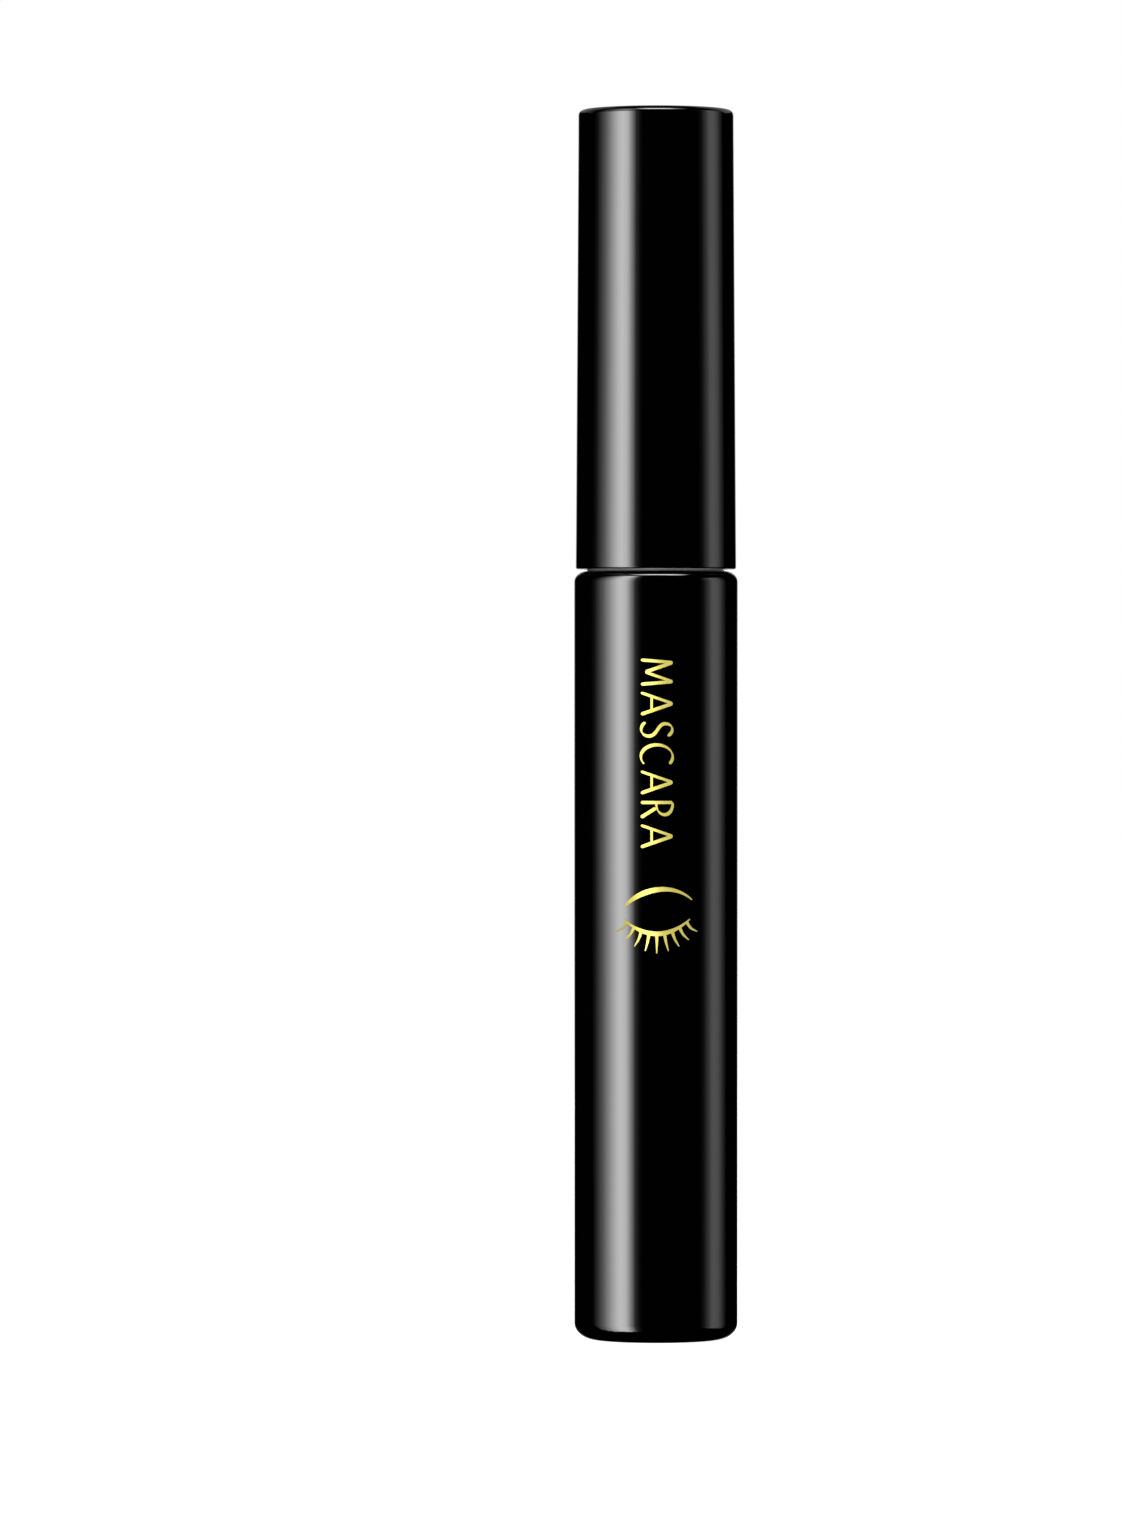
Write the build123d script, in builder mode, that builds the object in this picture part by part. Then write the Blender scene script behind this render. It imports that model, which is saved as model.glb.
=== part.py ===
"""Mascara tube: a two-shell bottle with a screw cap that carries the stem and the twisted brush.

The tube stands upright and closed.  The origin is the centre of the base, +Z is up, sizes are millimetres.
"""
import os

from build123d import *

# ---------------------------------------------------------------- overall sizes
tube_height = 127.8
bottle_radius = 8.5
bottle_top = 79.85
cap_gap = 0.2
cap_bottom = bottle_top + cap_gap
cap_bottom_radius = 8.336
cap_top_radius = 8.056

slip_gap = 0.05  # between pieces that are pushed together or slide

# ---------------------------------------------------------------- bottle casing
base_flat_radius = 6.3
base_corner_height = 1.75
base_recess_radius = 4.8
base_recess_depth = 0.3
base_thickness = 1.4
shoulder_flat_radius = 7.2
shoulder_corner_height = 1.1
casing_bore_radius = 7.4
casing_inner_corner = 1.0
collar_bottom = 75.5  # the thicker ring inside the shoulder that grips the vial
collar_chamfer = 0.7

# ---------------------------------------------------------------- inner vial
vial_radius = 6.65
vial_bore_radius = 5.7
vial_floor = 2.4
vial_inner_corner = 1.6
vial_bead_height = 78.0
bead_half_height = 0.5
vial_bead_depth = 0.18
vial_flange_radius = 7.15  # rests on the casing's rim and shows in the gap under the cap
vial_flange_thickness = 0.6
neck_radius = 5.3
neck_bore_radius = 4.5
neck_top = 92.0
neck_foot_radius = 5.8
neck_foot_height = 0.8
neck_bore_bottom = 78.6
neck_lip_chamfer = 0.25
moulded_edge_fillet = 0.15
neck_foot_fillet = 0.2

# ---------------------------------------------------------------- screw thread
thread_lead = 3.0
thread_turns = 1.25
thread_rise = thread_lead * thread_turns
neck_thread_start = 83.6
neck_thread_crest = 5.95
cap_thread_crest = 5.45
thread_root_half = 0.55
thread_crest_half = 0.3
thread_root_bite = 0.15
thread_runout_angle = 45  # the ridge grows from the wall to its full depth over this much of a turn
thread_runout_spare = 12
thread_runout_half = 1.2
thread_skin = 0.02

# ---------------------------------------------------------------- wiper
wiper_flange_thickness = 0.8
wiper_radius = neck_bore_radius - slip_gap
wiper_bore_radius = 3.95
wiper_funnel_top = 82.2
wiper_lip_top = 79.6
wiper_lip_bottom = 78.9
wiper_lip_wall = 0.4
wiper_bead_height = 85.0
wiper_bead_depth = 0.15
wiper_edge_fillet = 0.2

# ---------------------------------------------------------------- stem, brush and seal
stem_radius = 2.25
stem_bottom = 31.15
stem_tip_flat_radius = 0.5
stem_tip_height = 1.25
stem_head_radius = 3.4
stem_head_height = 1.0
spigot_radius = 2.6
barb_radius = 2.85
barb_height = 1.2
wire_radius = 0.675
wire_pitch = 2.9
strand_spacing = 0.96  # between the strands' centres, as a share of a strand's diameter, so that they join
wire_bottom = 3.89
wire_top = 38.2
wire_start_angle = 136.2  # the bearing of the strands at the nub
brush_radius = 3.65
brush_bottom = 4.35
brush_top = 30.8
brush_tip_radius = 2.6
brush_tip_height = 3.6
seal_thickness = 1.1
seal_radius = 5.85
seal_edge_fillet = 0.2

# ---------------------------------------------------------------- inner cap
liner_bottom = cap_bottom + 0.7
liner_bore_radius = 6.1
liner_radius = 6.75
liner_wall_top = 95.5
liner_rib_count = 12
liner_rib_width = 0.8
liner_rib_bottom = 84.0
liner_rib_top = 94.0
hub_radius = 4.4
hub_top = 106.25
web_count = 6
web_thickness = 0.8
web_top = 104.5

# ---------------------------------------------------------------- outer cap
cap_mouth_radius = 7.4
cap_socket_radius = 7.05
cap_bore_radius = 6.3
cap_ceiling = 126.4
cap_top_fillet = 0.6
cap_rim_fillet = 0.2
cap_inner_fillet = 1.0

# ---------------------------------------------------------------- heights that follow
vial_flange_top = bottle_top + vial_flange_thickness
neck_foot_top = vial_flange_top + neck_foot_height
wiper_top = neck_top + wiper_flange_thickness
lip_radius = stem_radius + slip_gap
seal_top = wiper_top + seal_thickness
liner_ceiling = seal_top + slip_gap
stem_head_bottom = liner_ceiling + slip_gap
stem_head_top = stem_head_bottom + stem_head_height
head_pocket_top = stem_head_top + slip_gap
barb_bottom = hub_top + slip_gap


def turn_outline(*points):
    """Turn a closed outline of (radius, height) points into a ring or shell about the tube's axis."""
    with BuildSketch(Plane.XZ) as outline:
        with BuildLine():
            Polyline(*points, close=True)
        make_face()
    revolve(outline.sketch, axis=Axis.Z)


def cut_ring(inner_radius, outer_radius, height, half_height):
    """Cut a vee-shaped ring groove that runs from inner_radius out to outer_radius."""
    with BuildSketch(Plane.XZ) as groove:
        with BuildLine():
            Polyline(
                (inner_radius, height - half_height),
                (outer_radius, height),
                (inner_radius, height + half_height),
                close=True,
            )
        make_face()
    revolve(groove.sketch, axis=Axis.Z, mode=Mode.SUBTRACT)


def circles(part, radius, height):
    """The circular edges of a part that have this radius and lie at this height."""
    return (
        part.edges()
        .filter_by(GeomType.CIRCLE)
        .filter_by(lambda edge: abs(edge.radius - radius) < 0.001 and abs(edge.center().Z - height) < 0.001)
    )


def polar(radius, angle):
    """A point at this radius and bearing."""
    return Vector(radius, 0).rotate(Axis.Z, angle)


def arc_between(radius, first_angle, last_angle):
    """An arc about the tube's axis."""
    middle_angle = (first_angle + last_angle) / 2
    return ThreePointArc(polar(radius, first_angle), polar(radius, middle_angle), polar(radius, last_angle))


def cut_runout(wall_radius, crest_radius, end_angle, height, way):
    """Fade one end of a thread ridge into its wall; way is +1 where the ridge runs on anticlockwise."""
    outward = 1 if crest_radius > wall_radius else -1
    skin_radius = wall_radius + outward * thread_skin
    full_radius = crest_radius + outward * thread_skin
    clear_radius = crest_radius + outward * thread_root_half
    full_angle = end_angle + way * thread_runout_angle
    spare_angle = end_angle - way * thread_runout_spare
    middle = polar((wall_radius + crest_radius) / 2, (end_angle + full_angle) / 2)
    with BuildSketch(Plane.XY.offset(height - thread_runout_half)) as runout:
        with BuildLine():
            ThreePointArc(polar(skin_radius, end_angle), middle, polar(full_radius, full_angle))
            Line(polar(full_radius, full_angle), polar(clear_radius, full_angle))
            arc_between(clear_radius, full_angle, spare_angle)
            Line(polar(clear_radius, spare_angle), polar(skin_radius, spare_angle))
            arc_between(skin_radius, spare_angle, end_angle)
        make_face()
    extrude(runout.sketch, amount=2 * thread_runout_half, mode=Mode.SUBTRACT)


def add_thread(wall_radius, crest_radius, start_height):
    """Wind one thread ridge round a wall, from its root inside the wall to its crest, and fade its ends."""
    bite = thread_root_bite if wall_radius > crest_radius else -thread_root_bite
    root_radius = wall_radius + bite
    with BuildLine() as helix:
        Helix(thread_lead, thread_rise, wall_radius, center=(0, 0, start_height))
    with BuildSketch(Plane.XZ) as ridge:
        with BuildLine():
            Polyline(
                (root_radius, start_height - thread_root_half),
                (crest_radius, start_height - thread_crest_half),
                (crest_radius, start_height + thread_crest_half),
                (root_radius, start_height + thread_root_half),
                close=True,
            )
        make_face()
    sweep(ridge.sketch, path=helix.line, is_frenet=True)
    cut_runout(wall_radius, crest_radius, 0, start_height, 1)
    cut_runout(wall_radius, crest_radius, 360 * thread_turns, start_height + thread_rise, -1)


# ---------------------------------------------------------------- bottle casing
# The gloss outer shell: closed and rounded at the base, open at the shoulder for the vial.
with BuildPart() as bottle_casing:
    with BuildSketch(Plane.XZ):
        with BuildLine():
            Polyline(
                (0, base_thickness),
                (0, base_recess_depth),
                (base_recess_radius - base_recess_depth, base_recess_depth),
                (base_recess_radius, 0),
                (base_flat_radius, 0),
            )
            EllipticalCenterArc(
                (base_flat_radius, base_corner_height),
                bottle_radius - base_flat_radius,
                base_corner_height,
                start_angle=270,
                arc_size=90,
            )
            Line((bottle_radius, base_corner_height), (bottle_radius, bottle_top - shoulder_corner_height))
            EllipticalCenterArc(
                (shoulder_flat_radius, bottle_top - shoulder_corner_height),
                bottle_radius - shoulder_flat_radius,
                shoulder_corner_height,
                start_angle=0,
                arc_size=90,
            )
            Polyline(
                (shoulder_flat_radius, bottle_top),
                (vial_radius + slip_gap, bottle_top),
                (vial_radius + slip_gap, collar_bottom),
                (casing_bore_radius, collar_bottom - collar_chamfer),
                (casing_bore_radius, base_thickness + casing_inner_corner),
                (casing_bore_radius - casing_inner_corner, base_thickness),
                (0, base_thickness),
            )
        make_face()
    revolve(axis=Axis.Z)
    cut_ring(
        vial_radius,
        vial_radius + vial_bead_depth + slip_gap,
        vial_bead_height,
        bead_half_height + slip_gap,
    )
bottle_casing.part.label = "bottle_casing"

# ---------------------------------------------------------------- inner vial
# The reservoir stands on the casing's floor, snaps into its collar, closes it with a flange and ends in
# the threaded neck.
with BuildPart() as inner_vial:
    turn_outline(
        (0, base_thickness),
        (vial_radius - casing_inner_corner, base_thickness),
        (vial_radius, base_thickness + casing_inner_corner),
        (vial_radius, vial_bead_height - bead_half_height),
        (vial_radius + vial_bead_depth, vial_bead_height),
        (vial_radius, vial_bead_height + bead_half_height),
        (vial_radius, bottle_top),
        (vial_flange_radius, bottle_top),
        (vial_flange_radius, vial_flange_top),
        (neck_foot_radius, vial_flange_top),
        (neck_foot_radius, neck_foot_top),
        (neck_radius, neck_foot_top),
        (neck_radius, neck_top - neck_lip_chamfer),
        (neck_radius - neck_lip_chamfer, neck_top),
        (neck_bore_radius, neck_top),
        (neck_bore_radius, neck_bore_bottom),
        (vial_bore_radius, neck_bore_bottom - (vial_bore_radius - neck_bore_radius)),
        (vial_bore_radius, vial_floor + vial_inner_corner),
        (vial_bore_radius - vial_inner_corner, vial_floor),
        (0, vial_floor),
    )
    for edge_height in (bottle_top, vial_flange_top):
        fillet(circles(inner_vial, vial_flange_radius, edge_height), moulded_edge_fillet)
    fillet(circles(inner_vial, neck_foot_radius, neck_foot_top), neck_foot_fillet)
    fillet(circles(inner_vial, neck_radius, neck_foot_top), neck_foot_fillet)
    cut_ring(
        wiper_radius,
        neck_bore_radius + wiper_bead_depth,
        wiper_bead_height,
        bead_half_height + slip_gap,
    )
    add_thread(neck_radius, neck_thread_crest, neck_thread_start)
inner_vial.part.label = "inner_vial"

# ---------------------------------------------------------------- wiper
# The soft insert in the neck: a flange on the rim, a sleeve, and a funnel down to the lip round the stem.
with BuildPart() as wiper:
    turn_outline(
        (wiper_bore_radius, wiper_top),
        (neck_radius - neck_lip_chamfer, wiper_top),
        (neck_radius - neck_lip_chamfer, neck_top),
        (wiper_radius, neck_top),
        (wiper_radius, wiper_bead_height + bead_half_height),
        (wiper_radius + wiper_bead_depth, wiper_bead_height),
        (wiper_radius, wiper_bead_height - bead_half_height),
        (wiper_radius, wiper_funnel_top),
        (lip_radius + wiper_lip_wall, wiper_lip_top),
        (lip_radius + wiper_lip_wall, wiper_lip_bottom),
        (lip_radius, wiper_lip_bottom),
        (lip_radius, wiper_lip_top),
        (wiper_bore_radius, wiper_funnel_top),
    )
    fillet(circles(wiper, wiper_bore_radius, wiper_top), wiper_edge_fillet)
    fillet(circles(wiper, neck_radius - neck_lip_chamfer, wiper_top), wiper_edge_fillet)
wiper.part.label = "wiper"

# ---------------------------------------------------------------- seal ring
# The soft washer that the cap presses on the wiper's flange; it grips the stem, which carries it out.
with BuildPart() as seal_ring:
    turn_outline(
        (lip_radius, wiper_top),
        (seal_radius, wiper_top),
        (seal_radius, seal_top),
        (lip_radius, seal_top),
    )
    for edge_height in (wiper_top, seal_top):
        fillet(circles(seal_ring, seal_radius, edge_height), seal_edge_fillet)
seal_ring.part.label = "seal_ring"

# ---------------------------------------------------------------- stem
# The rod with a rounded tip, bored for the brush wire; its head and barbed spigot lock into the inner cap.
with BuildPart() as stem:
    with BuildSketch(Plane.XZ):
        with BuildLine():
            Line((0, stem_bottom), (stem_tip_flat_radius, stem_bottom))
            EllipticalCenterArc(
                (stem_tip_flat_radius, stem_bottom + stem_tip_height),
                stem_radius - stem_tip_flat_radius,
                stem_tip_height,
                start_angle=270,
                arc_size=90,
            )
            Polyline(
                (stem_radius, stem_bottom + stem_tip_height),
                (stem_radius, stem_head_bottom),
                (stem_head_radius, stem_head_bottom),
                (stem_head_radius, stem_head_top),
                (spigot_radius, stem_head_top),
                (spigot_radius, barb_bottom),
                (barb_radius, barb_bottom),
                (spigot_radius - slip_gap, barb_bottom + barb_height),
                (0, barb_bottom + barb_height),
                (0, stem_bottom),
            )
        make_face()
    revolve(axis=Axis.Z)
    with BuildSketch(Plane.XY.offset(stem_bottom)):
        Circle(wire_radius + slip_gap)
    extrude(amount=wire_top + slip_gap - stem_bottom, mode=Mode.SUBTRACT)
stem.part.label = "stem"

# ---------------------------------------------------------------- brush wire
# One wire folded in two and twisted left-handed; the fold makes the rounded nub at the tip.
strand_radius = wire_radius / 2
wire_length = wire_top - wire_bottom - strand_radius
with BuildSketch(Plane.XY.offset(wire_bottom + strand_radius)) as strand_pair:
    with PolarLocations(strand_radius * strand_spacing, 2, start_angle=wire_start_angle):
        Circle(strand_radius)
twisted_pair = Solid.extrude_linear_with_rotation(
    strand_pair.sketch.faces()[0],
    center=(0, 0, wire_bottom + strand_radius),
    normal=(0, 0, wire_length),
    angle=-360 * wire_length / wire_pitch,
)
with BuildPart() as brush_wire:
    add(twisted_pair)
    with Locations((0, 0, wire_bottom + wire_radius)):
        Sphere(wire_radius)
brush_wire.part.label = "brush_wire"

# ---------------------------------------------------------------- bristles
# The outer form of the fibre tufts: a straight brush with a narrowed tip, open along the wire.
with BuildPart() as bristles:
    turn_outline(
        (wire_radius + slip_gap, brush_top),
        (brush_radius, brush_top),
        (brush_radius, brush_bottom + brush_tip_height),
        (brush_tip_radius, brush_bottom),
        (wire_radius + slip_gap, brush_bottom),
    )
bristles.part.label = "bristles"

# ---------------------------------------------------------------- inner cap
# The liner inside the cap: threaded wall, ceiling over the seal, and a webbed hub that holds the stem.
with BuildPart() as inner_cap:
    turn_outline(
        (liner_bore_radius, liner_bottom),
        (liner_radius, liner_bottom),
        (liner_radius, liner_wall_top),
        (hub_radius, liner_wall_top),
        (hub_radius, hub_top),
        (spigot_radius + slip_gap, hub_top),
        (spigot_radius + slip_gap, head_pocket_top),
        (stem_head_radius + slip_gap, head_pocket_top),
        (stem_head_radius + slip_gap, liner_ceiling),
        (liner_bore_radius, liner_ceiling),
    )
    for edge_radius in (liner_bore_radius, liner_radius):
        fillet(circles(inner_cap, edge_radius, liner_bottom), moulded_edge_fillet)
    add_thread(liner_bore_radius, cap_thread_crest, neck_thread_start - thread_lead / 2)
    with BuildSketch(Plane.XY.offset(liner_rib_bottom)):
        with PolarLocations((liner_radius + cap_socket_radius) / 2 - slip_gap, liner_rib_count):
            Rectangle(cap_socket_radius - liner_radius, liner_rib_width)
    extrude(amount=liner_rib_top - liner_rib_bottom)
    web_reach = cap_bore_radius - slip_gap - hub_radius
    with BuildSketch(Plane.XY.offset(liner_wall_top)):
        with PolarLocations(hub_radius + (web_reach - slip_gap) / 2, web_count):
            Rectangle(web_reach + slip_gap, web_thickness)
    extrude(amount=web_top - liner_wall_top)
inner_cap.part.label = "inner_cap"

# ---------------------------------------------------------------- outer cap
# The gloss cap: a slightly tapered shell with a socket for the inner cap and a shoulder that stops it.
with BuildPart() as outer_cap:
    turn_outline(
        (cap_mouth_radius, cap_bottom),
        (cap_bottom_radius, cap_bottom),
        (cap_top_radius, tube_height),
        (0, tube_height),
        (0, cap_ceiling),
        (cap_bore_radius, cap_ceiling),
        (cap_bore_radius, liner_wall_top),
        (cap_socket_radius, liner_wall_top),
        (cap_socket_radius, liner_bottom),
        (cap_mouth_radius, liner_bottom),
    )
    rings = outer_cap.edges().filter_by(GeomType.CIRCLE)
    fillet(rings.group_by(Axis.Z)[-1], cap_top_fillet)
    fillet(rings.group_by(Axis.Z)[0], cap_rim_fillet)
    fillet(rings.group_by(Axis.Z)[-2], cap_inner_fillet)
outer_cap.part.label = "outer_cap"

# ---------------------------------------------------------------- files
os.makedirs("parts", exist_ok=True)
for piece in (
    bottle_casing,
    inner_vial,
    wiper,
    seal_ring,
    stem,
    brush_wire,
    bristles,
    inner_cap,
    outer_cap,
):
    export_step(piece.part, f"parts/{piece.part.label}.step")
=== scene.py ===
"""Looks of the mascara tube: gloss black casing and cap, gold foil marks and a twisted-wire brush.

Lengths are metres, except the names that end in _MM.
"""

import math
import random

import bpy
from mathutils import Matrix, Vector


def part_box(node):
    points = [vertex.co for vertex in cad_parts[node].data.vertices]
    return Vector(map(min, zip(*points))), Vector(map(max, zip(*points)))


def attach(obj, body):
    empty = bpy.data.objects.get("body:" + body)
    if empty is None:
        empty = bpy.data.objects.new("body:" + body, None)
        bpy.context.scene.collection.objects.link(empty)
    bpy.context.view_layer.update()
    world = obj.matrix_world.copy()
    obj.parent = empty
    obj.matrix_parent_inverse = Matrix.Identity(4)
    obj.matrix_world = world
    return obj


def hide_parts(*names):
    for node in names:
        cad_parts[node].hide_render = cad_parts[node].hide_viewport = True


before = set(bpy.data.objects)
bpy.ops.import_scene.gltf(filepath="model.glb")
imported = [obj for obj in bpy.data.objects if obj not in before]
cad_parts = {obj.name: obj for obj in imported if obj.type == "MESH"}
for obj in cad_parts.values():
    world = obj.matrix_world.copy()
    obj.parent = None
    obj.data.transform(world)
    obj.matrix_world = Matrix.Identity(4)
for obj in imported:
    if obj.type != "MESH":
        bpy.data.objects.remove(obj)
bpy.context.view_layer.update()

MM = 0.001

# Places read from the frame.
casing_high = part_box("bottle_casing")[1]
wire_low, wire_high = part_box("brush_wire")
brush_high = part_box("bristles")[1]
BARREL_RADIUS = casing_high.x


# ---------------------------------------------------------------- camera
CAMERA_DISTANCE = 0.975
EYE_HEIGHT = 0.0644
VIEW_CENTRE = Vector((-0.00987, 0.0, 0.0594))
VIEW_HEIGHT = 0.15969
SENSOR_MM = 36.0


def add_camera():
    """A long lens at eye level, with the tube a little right of the picture's middle."""
    data = bpy.data.cameras.new("camera")
    data.sensor_width = SENSOR_MM
    data.lens = SENSOR_MM * CAMERA_DISTANCE / VIEW_HEIGHT
    data.clip_start = 0.01
    data.clip_end = 20.0
    camera = bpy.data.objects.new("camera", data)
    camera.location = (VIEW_CENTRE.x, -CAMERA_DISTANCE, EYE_HEIGHT)
    aim = VIEW_CENTRE - camera.location
    camera.rotation_euler = aim.to_track_quat("-Z", "Y").to_euler()
    bpy.context.scene.collection.objects.link(camera)
    bpy.context.scene.camera = camera


# ---------------------------------------------------------------- node helpers
def new_material(name):
    """A material with an empty node tree that has only its shader and output."""
    material = bpy.data.materials.new(name)
    material.use_nodes = True
    tree = material.node_tree
    tree.nodes.clear()
    shader = tree.nodes.new("ShaderNodeBsdfPrincipled")
    output = tree.nodes.new("ShaderNodeOutputMaterial")
    tree.links.new(shader.outputs["BSDF"], output.inputs["Surface"])
    return material, tree, shader


def noise(tree, scale, detail=3.0, stretch=(1.0, 1.0, 1.0)):
    """A noise factor in the piece's own metres; stretch squeezes the pattern along an axis."""
    place = tree.nodes.new("ShaderNodeTexCoord")
    mapping = tree.nodes.new("ShaderNodeMapping")
    mapping.inputs["Scale"].default_value = stretch
    pattern = tree.nodes.new("ShaderNodeTexNoise")
    pattern.inputs["Scale"].default_value = scale
    pattern.inputs["Detail"].default_value = detail
    tree.links.new(place.outputs["Object"], mapping.inputs["Vector"])
    tree.links.new(mapping.outputs["Vector"], pattern.inputs["Vector"])
    return pattern.outputs["Fac"]


def spread(tree, factor, low, high, start=0.3, end=0.7):
    """Remap a factor from start..end to low..high."""
    remap = tree.nodes.new("ShaderNodeMapRange")
    remap.inputs["From Min"].default_value = start
    remap.inputs["From Max"].default_value = end
    remap.inputs["To Min"].default_value = low
    remap.inputs["To Max"].default_value = high
    tree.links.new(factor, remap.inputs["Value"])
    return remap.outputs["Result"]


def tint(tree, factor, dark, light):
    """Blend two colours by a factor."""
    ramp = tree.nodes.new("ShaderNodeValToRGB")
    for element, place, colour in zip(ramp.color_ramp.elements, (0.3, 0.7), (dark, light)):
        element.position = place
        element.color = (*colour, 1.0)
    tree.links.new(factor, ramp.inputs["Fac"])
    return ramp.outputs["Color"]


def base_colour(tree, shader, factor, dark, light):
    """Let a factor blend the shader's base colour from dark to light."""
    tree.links.new(tint(tree, factor, dark, light), shader.inputs["Base Color"])


def relief(tree, shader, factor, depth):
    """Add a bump of the given depth in metres, on top of any bump that is there."""
    bump = tree.nodes.new("ShaderNodeBump")
    bump.inputs["Distance"].default_value = depth
    bump.inputs["Strength"].default_value = 1.0
    tree.links.new(factor, bump.inputs["Height"])
    normal = shader.inputs["Normal"]
    if normal.is_linked:
        tree.links.new(normal.links[0].from_socket, bump.inputs["Normal"])
    tree.links.new(bump.outputs["Normal"], normal)


# ---------------------------------------------------------------- materials
def gloss_black(name, gloss, wave_depth, index):
    """Black plastic under clear lacquer: faint flow waves, handling haze and hairline scratches.

    The index is the lacquer's refractive index, which sets how strongly it mirrors.
    """
    material, tree, shader = new_material(name)
    flow = noise(tree, 260.0, stretch=(1.0, 1.0, 0.25))
    haze = noise(tree, 90.0, detail=5.0)
    hairline = noise(tree, 1500.0, detail=2.0, stretch=(1.0, 1.0, 0.02))
    base_colour(tree, shader, haze, (0.0003, 0.0003, 0.00035), (0.0006, 0.0006, 0.0007))
    rough = tree.nodes.new("ShaderNodeMath")
    rough.operation = "ADD"
    tree.links.new(spread(tree, haze, gloss, gloss * 1.25), rough.inputs[0])
    tree.links.new(spread(tree, hairline, 0.0, gloss * 0.35, 0.62, 0.75), rough.inputs[1])
    tree.links.new(rough.outputs["Value"], shader.inputs["Roughness"])
    shader.inputs["IOR"].default_value = index
    relief(tree, shader, flow, wave_depth)
    relief(tree, shader, hairline, 0.00015 * MM)
    return material


def satin_black(name):
    """Black polypropylene as it leaves a spark-eroded mould: satin, with a fine even grain."""
    material, tree, shader = new_material(name)
    grain = noise(tree, 4200.0, detail=4.0)
    patch = noise(tree, 300.0)
    base_colour(tree, shader, patch, (0.008, 0.008, 0.009), (0.014, 0.014, 0.015))
    tree.links.new(spread(tree, patch, 0.32, 0.42), shader.inputs["Roughness"])
    relief(tree, shader, grain, 0.004 * MM)
    return material


def natural_plastic(name, dark, light, gloss, glow):
    """Uncoloured plastic that lets some light in, with soft clouding and a fine moulded skin."""
    material, tree, shader = new_material(name)
    cloud = noise(tree, 350.0, detail=4.0)
    skin = noise(tree, 3000.0)
    base_colour(tree, shader, cloud, dark, light)
    tree.links.new(spread(tree, cloud, gloss, gloss + 0.1), shader.inputs["Roughness"])
    shader.inputs["Subsurface Weight"].default_value = glow
    shader.inputs["Subsurface Radius"].default_value = (1.0, 0.95, 0.85)
    shader.inputs["Subsurface Scale"].default_value = 0.6 * MM
    relief(tree, shader, skin, 0.003 * MM)
    return material


def foam(name):
    """Closed-cell foam sheet with small round cells."""
    material, tree, shader = new_material(name)
    place = tree.nodes.new("ShaderNodeTexCoord")
    cells = tree.nodes.new("ShaderNodeTexVoronoi")
    cells.inputs["Scale"].default_value = 4500.0
    tree.links.new(place.outputs["Object"], cells.inputs["Vector"])
    cell = cells.outputs["Distance"]
    base_colour(tree, shader, cell, (0.9, 0.9, 0.89), (0.72, 0.72, 0.71))
    tree.links.new(spread(tree, cell, 0.55, 0.8), shader.inputs["Roughness"])
    relief(tree, shader, cell, 0.04 * MM)
    return material


def lacquered_wire(name):
    """Steel wire under black lacquer, rubbed thin in patches."""
    material, tree, shader = new_material(name)
    rub = noise(tree, 1400.0, detail=4.0)
    drawn = noise(tree, 6000.0, stretch=(1.0, 1.0, 0.1))
    base_colour(tree, shader, rub, (0.002, 0.002, 0.0025), (0.012, 0.012, 0.013))
    tree.links.new(spread(tree, rub, 0.35, 0.55), shader.inputs["Roughness"])
    shader.inputs["Specular IOR Level"].default_value = 0.8
    shader.inputs["Metallic"].default_value = 0.2
    relief(tree, shader, drawn, 0.003 * MM)
    return material


def nylon_fibre(name):
    """Black nylon filament: a soft sheen that varies from fibre to fibre."""
    material, tree, shader = new_material(name)
    lot = noise(tree, 2200.0)
    streak = noise(tree, 9000.0)
    base_colour(tree, shader, lot, (0.0008, 0.0008, 0.0009), (0.0035, 0.0035, 0.0038))
    tree.links.new(spread(tree, lot, 0.3, 0.5), shader.inputs["Roughness"])
    shader.inputs["Specular IOR Level"].default_value = 0.6
    relief(tree, shader, streak, 0.004 * MM)
    return material


def gold_foil(name):
    """Hot-stamped foil: bright gold, a little deeper in patches, with the press's fine grain."""
    material, tree, shader = new_material(name)
    patch = noise(tree, 700.0, detail=4.0)
    grain = noise(tree, 5000.0, detail=4.0)
    base_colour(tree, shader, patch, (0.90, 0.76, 0.14), (0.98, 0.87, 0.24))
    tree.links.new(spread(tree, grain, 0.24, 0.38), shader.inputs["Roughness"])
    shader.inputs["Metallic"].default_value = 1.0
    relief(tree, shader, grain, 0.0025 * MM)
    return material


def paint(node, material):
    """Give a CAD node that stays shown its finished material."""
    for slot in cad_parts[node].material_slots:
        slot.material = material


# ---------------------------------------------------------------- mesh helpers
def mesh_object(name, vertices, faces, material, smooth=True):
    """A new mesh object in the part's own frame."""
    mesh = bpy.data.meshes.new(name)
    mesh.from_pydata(vertices, [], faces)
    mesh.validate()
    mesh.polygons.foreach_set("use_smooth", [smooth] * len(mesh.polygons))
    mesh.materials.append(material)
    piece = bpy.data.objects.new(name, mesh)
    bpy.context.scene.collection.objects.link(piece)
    return piece


# ---------------------------------------------------------------- foil marks
FOIL_RISE = 0.03 * MM
FOIL_SINK = 0.03 * MM
FOIL_STEP = 0.12 * MM
LAYER_RISE = 0.002 * MM  # between strokes that cross, so that their tops don't coincide
PEN_ANGLE = math.radians(30)
PEN_THIN = 0.13 * MM
PEN_BROAD = 0.22 * MM
LETTER_HEIGHT = 3.3 * MM
WORD_LENGTH = 19.35 * MM
WORD_TOP_DROP = 9.2 * MM  # from the casing's top to the word's first letter
EMBLEM_DROP = 36.6 * MM  # from the casing's top to the emblem's middle


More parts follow.
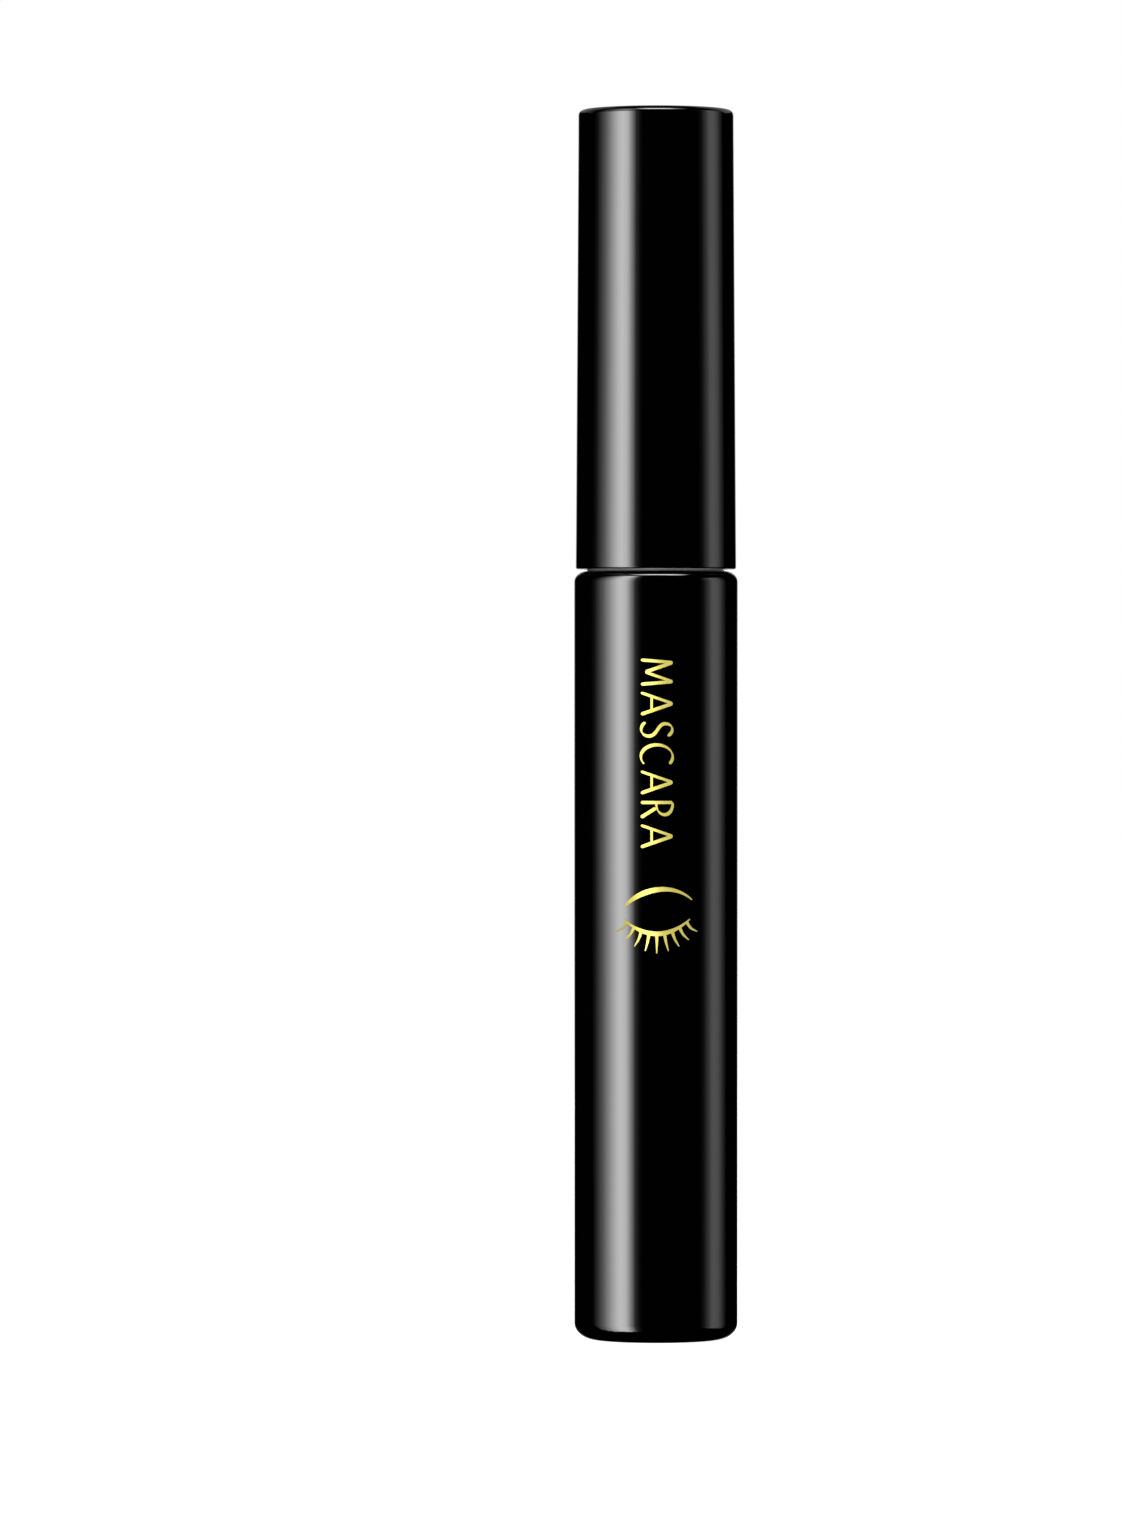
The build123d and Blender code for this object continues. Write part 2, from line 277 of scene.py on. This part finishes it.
def bezier(start, pull_a, pull_b, end, count=12):
    """Points along a cubic curve."""
    corners = (start, pull_a, pull_b, end)
    points = []
    for step in range(count + 1):
        t = step / count
        s = 1 - t
        weights = (s * s * s, 3 * s * s * t, 3 * s * t * t, t * t * t)
        points.append(tuple(sum(w * c[axis] for w, c in zip(weights, corners)) for axis in (0, 1)))
    return points


def arc(centre, radius_x, radius_y, start_deg, end_deg):
    """Points along an ellipse's arc."""
    count = 24
    points = []
    for step in range(count + 1):
        angle = math.radians(start_deg + (end_deg - start_deg) * step / count)
        x = centre[0] + radius_x * math.cos(angle)
        points.append((x, centre[1] + radius_y * math.sin(angle)))
    return points


# Each letter is its width and its strokes, with the letter's height as the unit.
LETTERS = {
    "M": (0.80, [
        [(0.02, 0.0), (0.10, 1.0)],
        [(0.10, 1.0), (0.40, 0.14)],
        [(0.40, 0.14), (0.70, 1.0)],
        [(0.70, 1.0), (0.78, 0.0)],
    ]),
    "A": (0.68, [
        [(0.0, 0.0), (0.34, 1.0)],
        [(0.34, 1.0), (0.68, 0.0)],
        [(0.12, 0.34), (0.56, 0.34)],
    ]),
    "S": (0.46, [
        bezier((0.43, 0.84), (0.35, 1.04), (0.06, 1.05), (0.05, 0.77))
        + bezier((0.05, 0.77), (0.05, 0.52), (0.44, 0.52), (0.44, 0.25))[1:]
        + bezier((0.44, 0.25), (0.43, -0.05), (0.10, -0.05), (0.01, 0.15))[1:],
    ]),
    "C": (0.60, [arc((0.38, 0.5), 0.37, 0.5, 52, 308)]),
    "R": (0.52, [
        [(0.05, 0.0), (0.05, 1.0)],
        bezier((0.05, 1.0), (0.56, 1.02), (0.56, 0.47), (0.05, 0.48)),
        [(0.22, 0.48), (0.52, 0.0)],
    ]),
}
WORD = "MASCARA"


def resample(points, step):
    """The same path with points no further apart than step."""
    dense = [points[0]]
    for a, b in zip(points, points[1:]):
        length = math.dist(a, b)
        pieces = max(1, math.ceil(length / step))
        for k in range(1, pieces + 1):
            t = k / pieces
            dense.append((a[0] + (b[0] - a[0]) * t, a[1] + (b[1] - a[1]) * t))
    return dense


def nib_width(direction):
    """The width that a broad pen leaves in a direction."""
    return PEN_THIN + PEN_BROAD * abs(math.sin(direction - PEN_ANGLE))


def add_stroke(vertices, faces, path, width_of, layer):
    """A closed strip of foil along a path of (distance round the barrel, height) in metres."""
    path = resample(path, FOIL_STEP)
    last = len(path) - 1
    top = BARREL_RADIUS + FOIL_RISE + layer * LAYER_RISE
    bottom = BARREL_RADIUS - FOIL_SINK
    rings = []
    for i, point in enumerate(path):
        before = path[max(0, i - 1)]
        after = path[min(last, i + 1)]
        direction = math.atan2(after[1] - before[1], after[0] - before[0])
        half = width_of(direction, i / last) / 2
        side = (-math.sin(direction) * half, math.cos(direction) * half)
        ring = []
        for sign, radius in ((1, top), (-1, top), (-1, bottom), (1, bottom)):
            angle = (point[0] + sign * side[0]) / BARREL_RADIUS
            height = point[1] + sign * side[1]
            ring.append(len(vertices))
            vertices.append((radius * math.sin(angle), -radius * math.cos(angle), height))
        rings.append(ring)
    for a, b in zip(rings, rings[1:]):
        for k in range(4):
            faces.append((a[k], a[(k + 1) % 4], b[(k + 1) % 4], b[k]))
    faces.append(tuple(reversed(rings[0])))
    faces.append(tuple(rings[-1]))


def rounded(width, t):
    """Draw a stroke's width in at both ends, where t runs from 0 to 1 along it."""
    rounded_part = 0.06
    edge = min(t, 1 - t) / rounded_part
    return width * (0.15 + 0.85 * math.sqrt(1 - (1 - edge) ** 2)) if edge < 1 else width


def letter_width(direction, t):
    """A letter stroke's width; the word reads downwards, so the pen is turned with it."""
    return rounded(nib_width(direction + math.pi / 2), t)


def foil_word(material):
    """The plain product word, reading down the front of the barrel."""
    natural = [LETTERS[c][0] * LETTER_HEIGHT for c in WORD]
    gap = (WORD_LENGTH - sum(natural)) / (len(WORD) - 1)
    top = casing_high.z - WORD_TOP_DROP
    vertices, faces = [], []
    along = 0.0
    for letter, width in zip(WORD, natural):
        for layer, stroke in enumerate(LETTERS[letter][1]):
            path = [(a * LETTER_HEIGHT, b * LETTER_HEIGHT) for a, b in stroke]
            placed = [(b - LETTER_HEIGHT / 2, top - along - a) for a, b in path]
            add_stroke(vertices, faces, placed, letter_width, layer)
        along += width + gap
    piece = mesh_object("foil_word", vertices, faces, material, smooth=False)
    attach(piece, "bottle")
    return piece


LID_HALF_WIDTH = 3.5 * MM
LID_SAG = 1.5 * MM
LASH_COUNT = 9


def lid_point(t, middle):
    """A point on the closed lid, with t from -1 at its left end to 1 at its right."""
    return (LID_HALF_WIDTH * t, middle + 0.6 * MM - LID_SAG * (1 - t * t))


def lid_width(direction, t):
    """The lid's line swells towards its middle."""
    return 0.12 * MM + 0.36 * MM * math.sin(math.pi * t)


def brow_width(direction, t):
    """The brow's line swells before its middle."""
    return 0.12 * MM + 0.42 * MM * math.sin(math.pi * t ** 0.7)


def lash_width(direction, t):
    """A lash thins towards its tip."""
    return 0.10 * MM + 0.24 * MM * (1 - t) ** 0.8


def foil_emblem(material):
    """A plain drawing of a closed eye: brow, lid and lashes."""
    middle = casing_high.z - EMBLEM_DROP
    vertices, faces = [], []
    lid = [lid_point(-1 + step / 20, middle) for step in range(41)]
    add_stroke(vertices, faces, lid, lid_width, 1)
    brow = bezier(
        (-3.4 * MM, middle + 1.9 * MM),
        (-1.7 * MM, middle + 3.7 * MM),
        (1.5 * MM, middle + 4.5 * MM),
        (3.75 * MM, middle + 2.6 * MM),
        30,
    )
    add_stroke(vertices, faces, brow, brow_width, 0)
    for k in range(LASH_COUNT):
        t = -0.9 + 1.8 * k / (LASH_COUNT - 1)
        root = lid_point(t, middle)
        lean = math.radians(-90 + 56 * t)
        length = (2.0 - 0.5 * abs(t)) * MM
        tip = (root[0] + length * math.cos(lean), root[1] + length * math.sin(lean))
        pull = (
            (root[0] + tip[0]) / 2 - 0.22 * MM * t,
            (root[1] + tip[1]) / 2 - 0.18 * MM * abs(t),
        )
        lash = bezier(root, pull, pull, tip)
        add_stroke(vertices, faces, lash, lash_width, 2 + k % 2)
    piece = mesh_object("foil_emblem", vertices, faces, material, smooth=False)
    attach(piece, "bottle")
    return piece


# ---------------------------------------------------------------- brush
WIRE_PITCH = 2.9 * MM
WIRE_START = math.radians(46.2)  # the bearing of the fibres between the strands at the nub
STRAND_RADIUS = (wire_high.x - wire_low.x) / 4
FIBRE_RADIUS = 0.058 * MM
FIBRE_ROOT = 0.3 * MM  # from the wire's axis to where a fibre starts
FIBRE_SECTIONS = 5
FIBRE_SIDES = 4
TUFTS_PER_SIDE = 360
FIBRES_PER_TUFT = 6
FIBRE_DROP = 0.9 * MM
FIBRE_CURVE = 1.4  # above 1, a fibre slopes near the wire and levels off on the way out
FIBRE_TAPER = 0.2  # the share of its radius that a fibre loses by its tip
NUB_CLEARANCE = 0.35 * MM
BRUSH_FOOT = 0.75 * MM  # from the wire's end to the lowest tuft
# How far the random draws spread the tufts and fibres: lengths in metres, angles in radians.
TUFT_TURN = 0.13
TUFT_SWAY = 0.10
TUFT_LIFT = 0.16 * MM
SHORT_TUFT_SHARE = 0.07
ROOT_SPREAD = 0.12 * MM
TIP_SPREAD = 0.035 * MM
LENGTH_SPREAD = 0.03
FIBRE_TURN = 0.12
FIBRE_SWAY = 0.012
BUNCHING = 0.9  # how far a tuft's fibres come back together at their tips
# The brush's half width against the height above the wire's end, in millimetres.
BRUSH_OUTLINE_MM = ((0.3, 1.4), (0.8, 2.85), (2.7, 3.2), (4.0, 3.6), (6.0, 3.68), (30.0, 3.65))


def brush_reach(height):
    """How far the fibres reach at a height: narrowed at the tip."""
    above = (height - wire_low.z) / MM
    low = BRUSH_OUTLINE_MM[0]
    for high in BRUSH_OUTLINE_MM[1:]:
        if above <= high[0]:
            t = min(1.0, max(0.0, (above - low[0]) / (high[0] - low[0])))
            return (low[1] + (high[1] - low[1]) * math.sin(t * math.pi / 2)) * MM
        low = high
    return BRUSH_OUTLINE_MM[-1][1] * MM


def add_fibre(vertices, faces, root_height, angle, reach, drop, sway, lift, radius):
    """One filament: it leaves the wire, slopes towards the tip and straightens on the way out."""
    rings = []
    for i in range(FIBRE_SECTIONS + 1):
        t = i / FIBRE_SECTIONS
        out = FIBRE_ROOT + (reach - FIBRE_ROOT) * t
        bearing = angle + sway * t * t
        height = root_height - drop * (1 - (1 - t) ** FIBRE_CURVE) + lift * t ** 3
        thick = radius * (1.0 - FIBRE_TAPER * t ** 3)
        centre = Vector((out * math.cos(bearing), out * math.sin(bearing), height))
        across = Vector((-math.sin(bearing), math.cos(bearing), 0.0))
        ring = []
        for k in range(FIBRE_SIDES):
            turn = math.tau * (k + 0.5) / FIBRE_SIDES
            spot = centre + across * (thick * math.cos(turn))
            spot += Vector((0, 0, thick * math.sin(turn)))
            ring.append(len(vertices))
            vertices.append(tuple(spot))
        rings.append(ring)
    for a, b in zip(rings, rings[1:]):
        for k in range(FIBRE_SIDES):
            faces.append((a[k], a[(k + 1) % FIBRE_SIDES], b[(k + 1) % FIBRE_SIDES], b[k]))
    faces.append(tuple(reversed(rings[0])))
    faces.append(tuple(rings[-1]))


def tuft_turn(height, side):
    """The bearing of the wire's trapped fibres at a height, with a real brush's uneven twist."""
    twist = -math.tau * (height - wire_low.z - STRAND_RADIUS) / WIRE_PITCH
    height_mm = height / MM
    quick_wander = 0.22 * math.sin(height_mm * 1.9 + side * 2.1)
    slow_wander = 0.16 * math.sin(height_mm * 0.83 + side)
    return twist + WIRE_START + side * math.pi + quick_wander + slow_wander


def brush_fibres(material):
    """Tufts of fibre in a double spiral that follows the wire's twist."""
    rng = random.Random(38)
    vertices, faces = [], []
    bottom = wire_low.z + BRUSH_FOOT
    top = brush_high.z - 0.05 * MM
    for side in (0, 1):
        for number in range(TUFTS_PER_SIDE):
            share = (number + rng.uniform(-0.4, 0.4)) / (TUFTS_PER_SIDE - 1)
            height = bottom + (top - bottom) * min(1.0, max(0.0, share))
            angle = tuft_turn(height, side) + rng.gauss(0, TUFT_TURN)
            by_stem = min(1.0, 0.55 + (top - height) / (3.5 * MM))  # tufts slope less by the stem
            drop = FIBRE_DROP * by_stem * rng.uniform(0.7, 1.3)
            sway = rng.gauss(0, TUFT_SWAY)
            lift = rng.gauss(0, TUFT_LIFT)
            short = rng.uniform(0.6, 0.92) if rng.random() < SHORT_TUFT_SHARE else 1.0
            for _ in range(FIBRES_PER_TUFT):
                root = min(top, height + rng.gauss(0, ROOT_SPREAD))
                tip_height = height - drop + lift + rng.gauss(0, TIP_SPREAD)
                tip_height = max(tip_height, wire_low.z + NUB_CLEARANCE * rng.uniform(0.8, 1.6))
                fibre_drop = root + lift - tip_height
                reach = brush_reach(tip_height) * short * (1.0 - abs(rng.gauss(0, LENGTH_SPREAD)))
                turn = angle + rng.gauss(0, FIBRE_TURN)
                bunch = (angle - turn) * BUNCHING + sway + rng.gauss(0, FIBRE_SWAY)
                radius = FIBRE_RADIUS * rng.uniform(0.85, 1.15)
                add_fibre(vertices, faces, root, turn, reach, fibre_drop, bunch, lift, radius)
    piece = mesh_object("brush_fibres", vertices, faces, material)
    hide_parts("bristles")
    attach(piece, "cap")
    return piece


# ---------------------------------------------------------------- studio
# Panels whose facets coincide hide each other, so some have a radius or a height of their own.
PANEL_RADIUS = 0.6
CARD_TARGET = Vector((0.0, 0.0, 0.1))
CORNER_SHARE = 0.52  # the left share of a panel over which its foot and head draw in
EVEN_UPWARD = ((0.0, 0.0), (0.06, 1.0), (0.94, 1.0), (1.0, 0.0))
DIM_HEAD_UPWARD = ((0.0, 0.0), (0.06, 1.0), (0.57, 1.0), (0.60, 0.3), (0.95, 0.3), (1.0, 0.0))


def ramp_along(tree, coordinate, marks, interpolation):
    """A brightness that follows marks of (place, level) along one coordinate."""
    ramp = tree.nodes.new("ShaderNodeValToRGB")
    ramp.color_ramp.interpolation = interpolation
    elements = ramp.color_ramp.elements
    while len(elements) < len(marks):
        elements.new(0.5)
    for element, (position, level) in zip(elements, marks):
        element.position = position
        element.color = (level, level, level, 1.0)
    tree.links.new(coordinate, ramp.inputs["Fac"])
    return ramp.outputs["Color"]


def product(tree, first, second):
    """Two values multiplied; the second may be a plain number."""
    times = tree.nodes.new("ShaderNodeMath")
    times.operation = "MULTIPLY"
    tree.links.new(first, times.inputs[0])
    if isinstance(second, float):
        times.inputs[1].default_value = second
    else:
        tree.links.new(second, times.inputs[1])
    return times.outputs["Value"]


def panel_glow(name, strength, across, upward):
    """A light panel's surface: it glows by its marks and lets other light through."""
    material = bpy.data.materials.new(name)
    material.use_nodes = True
    tree = material.node_tree
    tree.nodes.clear()
    place = tree.nodes.new("ShaderNodeUVMap")
    split = tree.nodes.new("ShaderNodeSeparateXYZ")
    glow = tree.nodes.new("ShaderNodeEmission")
    clear = tree.nodes.new("ShaderNodeBsdfTransparent")
    both = tree.nodes.new("ShaderNodeAddShader")
    output = tree.nodes.new("ShaderNodeOutputMaterial")
    tree.links.new(place.outputs["UV"], split.inputs["Vector"])
    level_across = ramp_along(tree, split.outputs["X"], across, "LINEAR")
    level_upward = ramp_along(tree, split.outputs["Y"], upward, "EASE")
    level = product(tree, product(tree, level_across, level_upward), strength)
    tree.links.new(level, glow.inputs["Strength"])
    tree.links.new(glow.outputs["Emission"], both.inputs[0])
    tree.links.new(clear.outputs["BSDF"], both.inputs[1])
    tree.links.new(both.outputs["Shader"], output.inputs["Surface"])
    return material


def light_only(light, pieces, barred=False):
    """Let a light reach only these pieces, or every piece but these."""
    group = bpy.data.collections.new(light.name + "_pieces")
    for piece in pieces:
        group.objects.link(piece)
    if barred:
        for entry in group.collection_objects:
            entry.light_linking.link_state = "EXCLUDE"
    light.light_linking.receiver_collection = group


def grid_panel(name, material, place, columns=32, rows=16):
    """A panel over a grid; place gives the point at (across, upward), each 0 to 1."""
    spots = [
        (column / columns, row / rows) for row in range(rows + 1) for column in range(columns + 1)
    ]
    faces = []
    for row in range(rows):
        for column in range(columns):
            first = row * (columns + 1) + column
            faces.append((first, first + 1, first + columns + 2, first + columns + 1))
    panel = mesh_object(name, [place(u, v) for u, v in spots], faces, material)
    layer = panel.data.uv_layers.new(name="uv")
    for loop in panel.data.loops:
        layer.data[loop.index].uv = spots[loop.vertex_index]
    panel.visible_camera = False
    panel.visible_shadow = False
    return panel


def curved_panel(
    name, strength, heights, stops, upward=EVEN_UPWARD, corner=0.0, radius=PANEL_RADIUS
):
    """An upright panel on a circle round the tube.

    The stops are (degrees to the right of the camera's side, brightness), and upward is the
    brightness from foot to head. The corner is how far the foot and head draw in towards the
    panel's left end.
    """
    first, last = stops[0][0], stops[-1][0]
    across = [((bearing - first) / (last - first), level) for bearing, level in stops]

    def place(u, v):
        angle = math.radians(first + (last - first) * u)
        drawn = corner * max(0.0, 1 - u / CORNER_SHARE) ** 2
        low, high = heights[0] + drawn, heights[1] - drawn
        return (radius * math.sin(angle), -radius * math.cos(angle), low + (high - low) * v)

    return grid_panel(name, panel_glow(name, strength, across, upward), place)


def overhead_panel(name, strength, height):
    """A level panel above the tube, bright in its middle."""
    left, right, front, back = -0.34, 0.42, -0.30, 0.16
    fade = [(0.0, 0.0), (0.35, 1.0), (0.65, 1.0), (1.0, 0.0)]

    def place(u, v):
        return (left + (right - left) * u, front + (back - front) * (1 - v), height)

    return grid_panel(name, panel_glow(name, strength, fade, fade), place, columns=8, rows=8)


def soft_card(name, pieces, power, place):
    """A weak square light for the given pieces alone, aimed at the tube."""
    data = bpy.data.lights.new(name, "AREA")
    data.shape = "RECTANGLE"
    data.size = data.size_y = 0.3
    data.energy = power
    light = bpy.data.objects.new(name, data)
    light.location = place
    aim = CARD_TARGET - light.location
    light.rotation_euler = aim.to_track_quat("-Z", "Y").to_euler()
    light.visible_camera = False
    bpy.context.scene.collection.objects.link(light)
    light_only(light, pieces)


def add_floor():
    """A plain white floor that runs out to a white surround."""
    reach = 4.0
    material, tree, shader = new_material("floor_white")
    mottle = noise(tree, 3.0)
    base_colour(tree, shader, mottle, (0.90, 0.90, 0.90), (0.93, 0.93, 0.93))
    shader.inputs["Roughness"].default_value = 0.9
    shader.inputs["Emission Color"].default_value = (1.0, 1.0, 1.0, 1.0)
    shader.inputs["Emission Strength"].default_value = 1.0
    corners = [(x * reach, y * reach, 0.0) for x, y in ((-1, -1), (1, -1), (1, 1), (-1, 1))]
    floor = mesh_object("floor", corners, [(0, 1, 2, 3)], material)
    floor.visible_glossy = False
    floor.visible_diffuse = False
    floor.visible_shadow = False


FILL_LEVEL = 0.12


def add_world():
    """White to the camera, black in reflections, and a low even fill on matt surfaces."""
    world = bpy.data.worlds.new("studio")
    bpy.context.scene.world = world
    world.use_nodes = True
    tree = world.node_tree
    tree.nodes.clear()
    output = tree.nodes.new("ShaderNodeOutputWorld")
    background = tree.nodes.new("ShaderNodeBackground")
    background.inputs["Color"].default_value = (1.0, 1.0, 1.0, 1.0)
    rays = tree.nodes.new("ShaderNodeLightPath")
    total = tree.nodes.new("ShaderNodeMath")
    total.operation = "ADD"
    tree.links.new(product(tree, rays.outputs["Is Diffuse Ray"], FILL_LEVEL), total.inputs[0])
    tree.links.new(rays.outputs["Is Camera Ray"], total.inputs[1])
    tree.links.new(total.outputs["Value"], background.inputs["Strength"])
    tree.links.new(background.outputs["Background"], output.inputs["Surface"])


# The panels' brightness along the circle, as (degrees to the right of the camera's side, level).
LEFT_STOPS = (
    (-104, 0.0), (-96, 0.01), (-89, 0.055), (-80, 0.165), (-72, 0.37), (-65, 0.61),
    (-57, 0.88), (-51, 1.0), (-43, 0.86), (-36.5, 0.40), (-30, 0.04), (-24, 0.006), (-20, 0.0),
)
RIGHT_STOPS = (
    (64, 0.0), (71, 0.07), (79, 0.45), (85, 0.95), (90, 1.0), (97, 0.82), (108, 0.2), (116, 0.0),
)
FOIL_STOPS = (
    (-80, 0.12), (-42, 0.25), (-26, 0.40), (-19, 1.0), (-9, 1.0),
    (0, 0.36), (6, 0.28), (43, 0.27), (80, 0.12),
)
BACK_STOPS = ((163, 0.0), (170, 0.6), (180, 1.0), (190, 0.6), (197, 0.0))
BACK_TOP_STOPS = ((105, 0.0), (135, 0.8), (180, 1.0), (225, 0.8), (255, 0.0))
RIM_STOPS = ((-40, 0.0), (-15, 1.0), (20, 0.9), (37, 0.25), (56, 0.0))


LEFT_STRENGTH = 3.62


def add_front_panels(foil_pieces, pale_pieces, cap):
    """A broad panel on the left and a dim strip on the right, as the gloss mirrors them.

    The cap has a left panel of its own, dim at its head so that the top doesn't turn white from
    the side, and a panel for its rim. The foil has a panel of its own too.
    """
    left = curved_panel("left_panel", LEFT_STRENGTH, (-0.52, 1.0), LEFT_STOPS, corner=0.6)
    light_only(left, foil_pieces + pale_pieces + [cap], barred=True)
    cap_left = curved_panel(
        "cap_left_panel", LEFT_STRENGTH, (-0.52, 0.80), LEFT_STOPS, DIM_HEAD_UPWARD, radius=0.61
    )
    light_only(cap_left, [cap])
    curved_panel("right_panel", 0.52, (-0.20, 0.42), RIGHT_STOPS)
    light_only(curved_panel("foil_panel", 2.3, (-0.7, 0.9), FOIL_STOPS), foil_pieces)
    light_only(curved_panel("rim_panel", 4.8, (0.56, 1.00), RIM_STOPS, radius=0.58), [cap])


def add_overhead_panels(foil_pieces, pale_pieces, cap):
    """A panel overhead for all but the foil and the cap, and a brighter one for the pale neck."""
    overhead = overhead_panel("overhead_panel", 7.4, 0.90)
    light_only(overhead, foil_pieces + [cap], barred=True)
    light_only(overhead_panel("neck_panel", 17.0, 0.85), pale_pieces)


def add_back_panels(foil_pieces, pale_pieces, cap):
    """A strip behind the tube, and a dim broad one for the cap's top seen from behind."""
    back = curved_panel("back_panel", 0.8, (-0.20, 0.60), BACK_STOPS)
    light_only(back, foil_pieces + pale_pieces, barred=True)
    back_top = curved_panel("back_top_panel", 0.35, (0.24, 1.10), BACK_TOP_STOPS, radius=0.62)
    light_only(back_top, [cap])


def add_studio(foil_pieces, pale_pieces):
    """The panels that the gloss mirrors, two cards for the pale pieces, the floor and the world."""
    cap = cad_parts["outer_cap"]
    add_front_panels(foil_pieces, pale_pieces, cap)
    add_overhead_panels(foil_pieces, pale_pieces, cap)
    add_back_panels(foil_pieces, pale_pieces, cap)
    soft_card("front_card", pale_pieces, 1.7, (0.0, -0.7, 0.1))
    soft_card("back_card", pale_pieces, 1.2, (0.15, 0.7, 0.15))
    add_floor()
    add_world()
    view = bpy.context.scene.view_settings
    view.view_transform = "Standard"
    view.look = "None"


# ---------------------------------------------------------------- the object
PALE_NODES = ("inner_vial", "wiper", "seal_ring")


def paint_nodes():
    """Give each CAD node that stays shown its finish."""
    lacquer = dict(gloss=0.055, wave_depth=0.0012 * MM, index=2.2)
    paint("bottle_casing", gloss_black("casing_gloss_black", **lacquer))
    paint("outer_cap", gloss_black("cap_gloss_black", **lacquer))
    paint("stem", gloss_black("stem_gloss_black", gloss=0.12, wave_depth=0.001 * MM, index=1.9))
    vial_greys = ((0.66, 0.66, 0.64), (0.74, 0.74, 0.72))
    wiper_whites = ((0.80, 0.80, 0.78), (0.88, 0.88, 0.86))
    paint("inner_vial", natural_plastic("vial_natural_plastic", *vial_greys, gloss=0.3, glow=0.2))
    paint("wiper", natural_plastic("wiper_soft_plastic", *wiper_whites, gloss=0.35, glow=0.35))
    paint("seal_ring", foam("seal_foam"))
    paint("inner_cap", satin_black("liner_satin_black"))
    paint("brush_wire", lacquered_wire("wire_lacquer"))


add_camera()
paint_nodes()
foil = gold_foil("gold_foil_grain")
foil_marks = [foil_word(foil), foil_emblem(foil)]
brush_fibres(nylon_fibre("fibre_nylon"))
add_studio(foil_marks, [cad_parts[node] for node in PALE_NODES])
